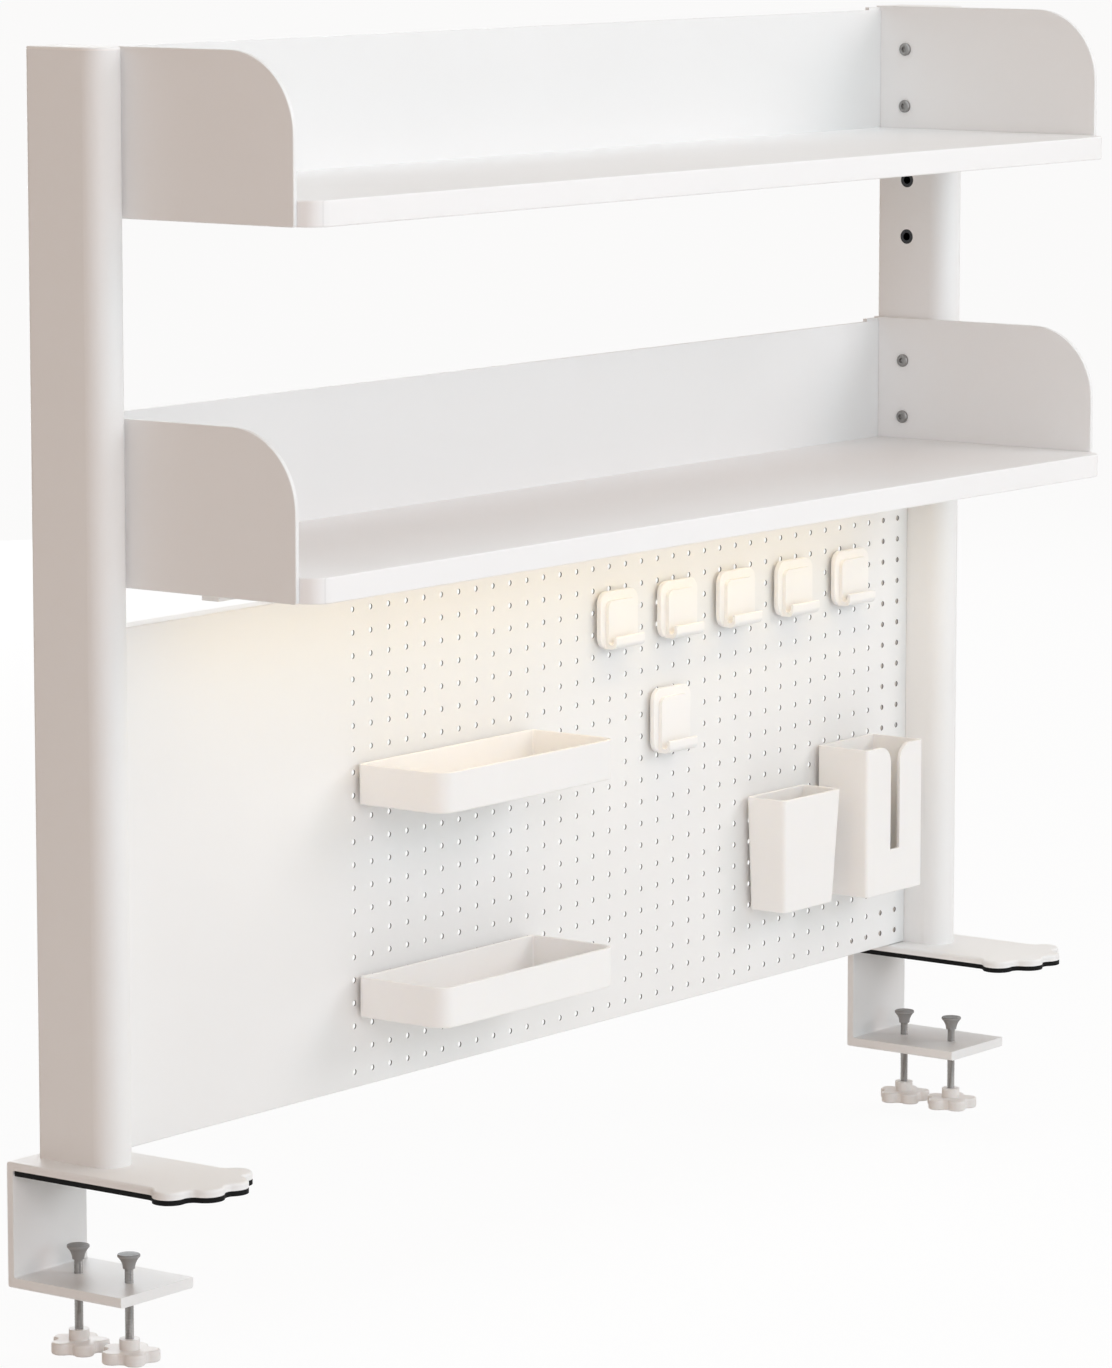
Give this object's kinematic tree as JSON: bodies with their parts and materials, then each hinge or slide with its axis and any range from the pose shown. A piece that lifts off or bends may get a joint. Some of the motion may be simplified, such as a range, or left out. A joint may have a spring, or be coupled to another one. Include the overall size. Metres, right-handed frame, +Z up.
{
  "type": "desk organizer shelf",
  "caption": "Clamp-on desk organizer: twin D-section posts, raised shelves with side plates, and a perforated steel board with magnetic trays, cup, box and hooks.",
  "frame": {"origin": "on the desk-top plane under the rubber pads, at the rear edge of the desk, midway between the posts", "axes": "+X to the right along the desk's rear edge, -Y to the front, +Z up"},
  "size_m": [1.061, 0.218, 0.8491],
  "materials": {
    "post_steel": "satin powder coat, white",
    "sheet_steel": "fine textured powder coat, white",
    "cap_plastic": "matt moulded plastic, white",
    "board": "white melamine-faced board with edge band",
    "moulded_white": "satin moulded plastic, white",
    "rubber": "matt black rubber",
    "zinc_steel": "zinc plated steel",
    "foot_metal": "sawn and drilled block",
    "grey_plastic": "fine textured moulded plastic, warm grey",
    "magnet_nickel": "nickel plated magnet",
    "light_aluminium": "satin anodised aluminium",
    "light_diffuser": "frosted diffuser",
    "led_board": "white circuit strip with yellow diodes"
  },
  "bodies": {
    "frame": {"left_post": "post_steel", "right_post": "post_steel", "post_caps": "cap_plastic", "post_feet": "foot_metal", "post_foot_screws": "zinc_steel", "post_foot_bolts": "zinc_steel", "rivet_nuts": "zinc_steel", "left_clamp_bracket": "sheet_steel", "right_clamp_bracket": "sheet_steel", "left_desk_pad": "rubber", "right_desk_pad": "rubber", "upper_left_side_plate": "sheet_steel", "upper_right_side_plate": "sheet_steel", "lower_left_side_plate": "sheet_steel", "lower_right_side_plate": "sheet_steel", "upper_back_panel": "sheet_steel", "lower_back_panel": "sheet_steel", "upper_shelf_board": "board", "lower_shelf_board": "board", "shelf_bolts": "zinc_steel", "board_screws": "zinc_steel", "back_panel_nuts": "zinc_steel", "perforated_panel": "sheet_steel", "panel_screws": "zinc_steel", "light_channel": "light_aluminium", "light_cover": "light_diffuser", "led_strip": "led_board", "light_end_caps": "light_aluminium"},
    "upper_tray": {"upper_tray": "moulded_white", "upper_tray_magnets": "magnet_nickel"},
    "lower_tray": {"lower_tray": "moulded_white", "lower_tray_magnets": "magnet_nickel"},
    "pen_cup": {"pen_cup": "moulded_white", "pen_cup_magnets": "magnet_nickel"},
    "slotted_box": {"slotted_box": "moulded_white", "slotted_box_magnets": "magnet_nickel"},
    "hook_1": {"hook_1": "moulded_white", "hook_1_magnets": "magnet_nickel"},
    "hook_2": {"hook_2": "moulded_white", "hook_2_magnets": "magnet_nickel"},
    "hook_3": {"hook_3": "moulded_white", "hook_3_magnets": "magnet_nickel"},
    "hook_4": {"hook_4": "moulded_white", "hook_4_magnets": "magnet_nickel"},
    "hook_5": {"hook_5": "moulded_white", "hook_5_magnets": "magnet_nickel"},
    "hook_6": {"hook_6": "moulded_white", "hook_6_magnets": "magnet_nickel"},
    "left_rear_clamp_pad": {"left_rear_clamp_pad": "grey_plastic"},
    "left_rear_clamp_screw": {"left_rear_clamp_screw": "zinc_steel", "left_rear_clamp_knob": "grey_plastic"},
    "left_front_clamp_pad": {"left_front_clamp_pad": "grey_plastic"},
    "left_front_clamp_screw": {"left_front_clamp_screw": "zinc_steel", "left_front_clamp_knob": "grey_plastic"},
    "right_rear_clamp_pad": {"right_rear_clamp_pad": "grey_plastic"},
    "right_rear_clamp_screw": {"right_rear_clamp_screw": "zinc_steel", "right_rear_clamp_knob": "grey_plastic"},
    "right_front_clamp_pad": {"right_front_clamp_pad": "grey_plastic"},
    "right_front_clamp_screw": {"right_front_clamp_screw": "zinc_steel", "right_front_clamp_knob": "grey_plastic"}
  },
  "joints": [
    {"name": "upper_tray_pull_off", "type": "slide", "parent": "frame", "child": "upper_tray", "axis": [0, -1, 0], "range_m": [0, 0.04]},
    {"name": "lower_tray_pull_off", "type": "slide", "parent": "frame", "child": "lower_tray", "axis": [0, -1, 0], "range_m": [0, 0.04]},
    {"name": "pen_cup_pull_off", "type": "slide", "parent": "frame", "child": "pen_cup", "axis": [0, -1, 0], "range_m": [0, 0.04]},
    {"name": "slotted_box_pull_off", "type": "slide", "parent": "frame", "child": "slotted_box", "axis": [0, -1, 0], "range_m": [0, 0.04]},
    {"name": "hook_1_pull_off", "type": "slide", "parent": "frame", "child": "hook_1", "axis": [0, -1, 0], "range_m": [0, 0.04]},
    {"name": "hook_2_pull_off", "type": "slide", "parent": "frame", "child": "hook_2", "axis": [0, -1, 0], "range_m": [0, 0.04]},
    {"name": "hook_3_pull_off", "type": "slide", "parent": "frame", "child": "hook_3", "axis": [0, -1, 0], "range_m": [0, 0.04]},
    {"name": "hook_4_pull_off", "type": "slide", "parent": "frame", "child": "hook_4", "axis": [0, -1, 0], "range_m": [0, 0.04]},
    {"name": "hook_5_pull_off", "type": "slide", "parent": "frame", "child": "hook_5", "axis": [0, -1, 0], "range_m": [0, 0.04]},
    {"name": "hook_6_pull_off", "type": "slide", "parent": "frame", "child": "hook_6", "axis": [0, -1, 0], "range_m": [0, 0.04]},
    {"name": "left_rear_clamp_lift", "type": "slide", "parent": "frame", "child": "left_rear_clamp_pad", "axis": [0, 0, 1], "range_m": [-0.008, 0.029]},
    {"name": "left_rear_clamp_turn", "type": "hinge", "parent": "left_rear_clamp_pad", "child": "left_rear_clamp_screw", "pos_m": [-0.4865, -0.024, -0.0585], "axis": [0, 0, 1], "range_deg": [-2880, 10440]},
    {"name": "left_front_clamp_lift", "type": "slide", "parent": "frame", "child": "left_front_clamp_pad", "axis": [0, 0, 1], "range_m": [-0.008, 0.029]},
    {"name": "left_front_clamp_turn", "type": "hinge", "parent": "left_front_clamp_pad", "child": "left_front_clamp_screw", "pos_m": [-0.4865, -0.0675, -0.0585], "axis": [0, 0, 1], "range_deg": [-2880, 10440]},
    {"name": "right_rear_clamp_lift", "type": "slide", "parent": "frame", "child": "right_rear_clamp_pad", "axis": [0, 0, 1], "range_m": [-0.008, 0.029]},
    {"name": "right_rear_clamp_turn", "type": "hinge", "parent": "right_rear_clamp_pad", "child": "right_rear_clamp_screw", "pos_m": [0.4865, -0.024, -0.0585], "axis": [0, 0, 1], "range_deg": [-2880, 10440]},
    {"name": "right_front_clamp_lift", "type": "slide", "parent": "frame", "child": "right_front_clamp_pad", "axis": [0, 0, 1], "range_m": [-0.008, 0.029]},
    {"name": "right_front_clamp_turn", "type": "hinge", "parent": "right_front_clamp_pad", "child": "right_front_clamp_screw", "pos_m": [0.4865, -0.0675, -0.0585], "axis": [0, 0, 1], "range_deg": [-2880, 10440]}
  ],
  "couplings": [
    {"joint": "left_rear_clamp_turn", "follows": "left_rear_clamp_lift", "rad_per_m": 6283.2},
    {"joint": "left_front_clamp_turn", "follows": "left_front_clamp_lift", "rad_per_m": 6283.2},
    {"joint": "right_rear_clamp_turn", "follows": "right_rear_clamp_lift", "rad_per_m": 6283.2},
    {"joint": "right_front_clamp_turn", "follows": "right_front_clamp_lift", "rad_per_m": 6283.2}
  ]
}
